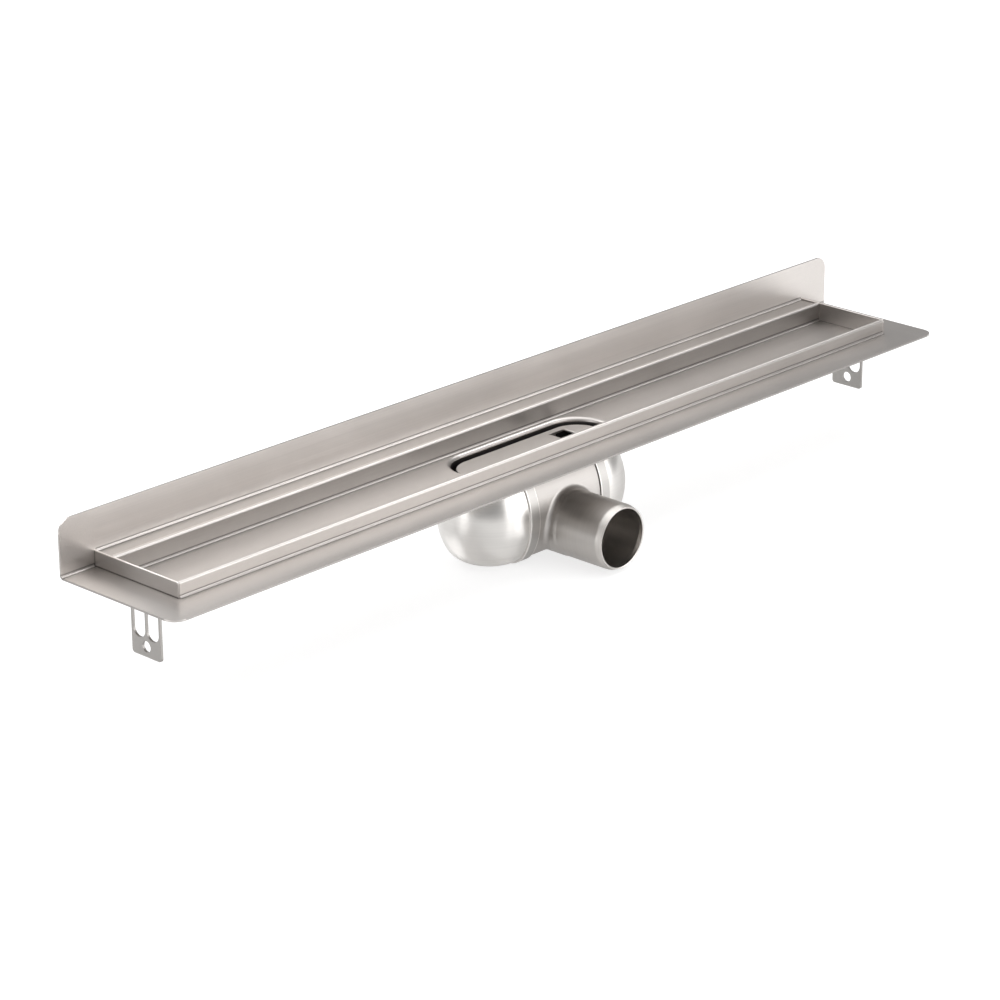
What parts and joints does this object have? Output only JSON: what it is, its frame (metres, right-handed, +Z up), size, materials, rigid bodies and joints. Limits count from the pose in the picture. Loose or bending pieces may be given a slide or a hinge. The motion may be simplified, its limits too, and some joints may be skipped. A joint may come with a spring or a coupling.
{
  "type": "linear shower drain",
  "caption": "Wall-type linear shower channel in satin stainless steel with an odour trap, a DN 50 side outlet and two anchor brackets.",
  "frame": {"origin": "under the middle of the trap, midway between its two bands, on the plane that they stand on", "axes": "+X along the channel, -Y towards the outlet at the front, +Z up"},
  "size_m": [0.865, 0.1501, 0.1278],
  "materials": {
    "satin_sheet": "satin",
    "drawn_steel": "satin",
    "outlet_steel": "satin",
    "insert_steel": "satin",
    "gasket_rubber": "matte"
  },
  "bodies": {
    "root": {"channel_trough": "satin_sheet", "end_flange_left": "satin_sheet", "end_flange_right": "satin_sheet", "end_plate_left": "satin_sheet", "end_plate_right": "satin_sheet", "anchor_bracket_left": "satin_sheet", "anchor_bracket_right": "satin_sheet", "trap_neck": "drawn_steel", "trap_bowl_left": "drawn_steel", "trap_bowl_right": "drawn_steel", "trap_middle": "drawn_steel", "trap_band_left": "drawn_steel", "trap_band_right": "drawn_steel", "outlet_spigot": "outlet_steel", "insert_cover": "insert_steel", "insert_skirt": "insert_steel", "grip_cup": "insert_steel", "outlet_chamber": "insert_steel", "port_gasket": "gasket_rubber"}
  },
  "joints": []
}
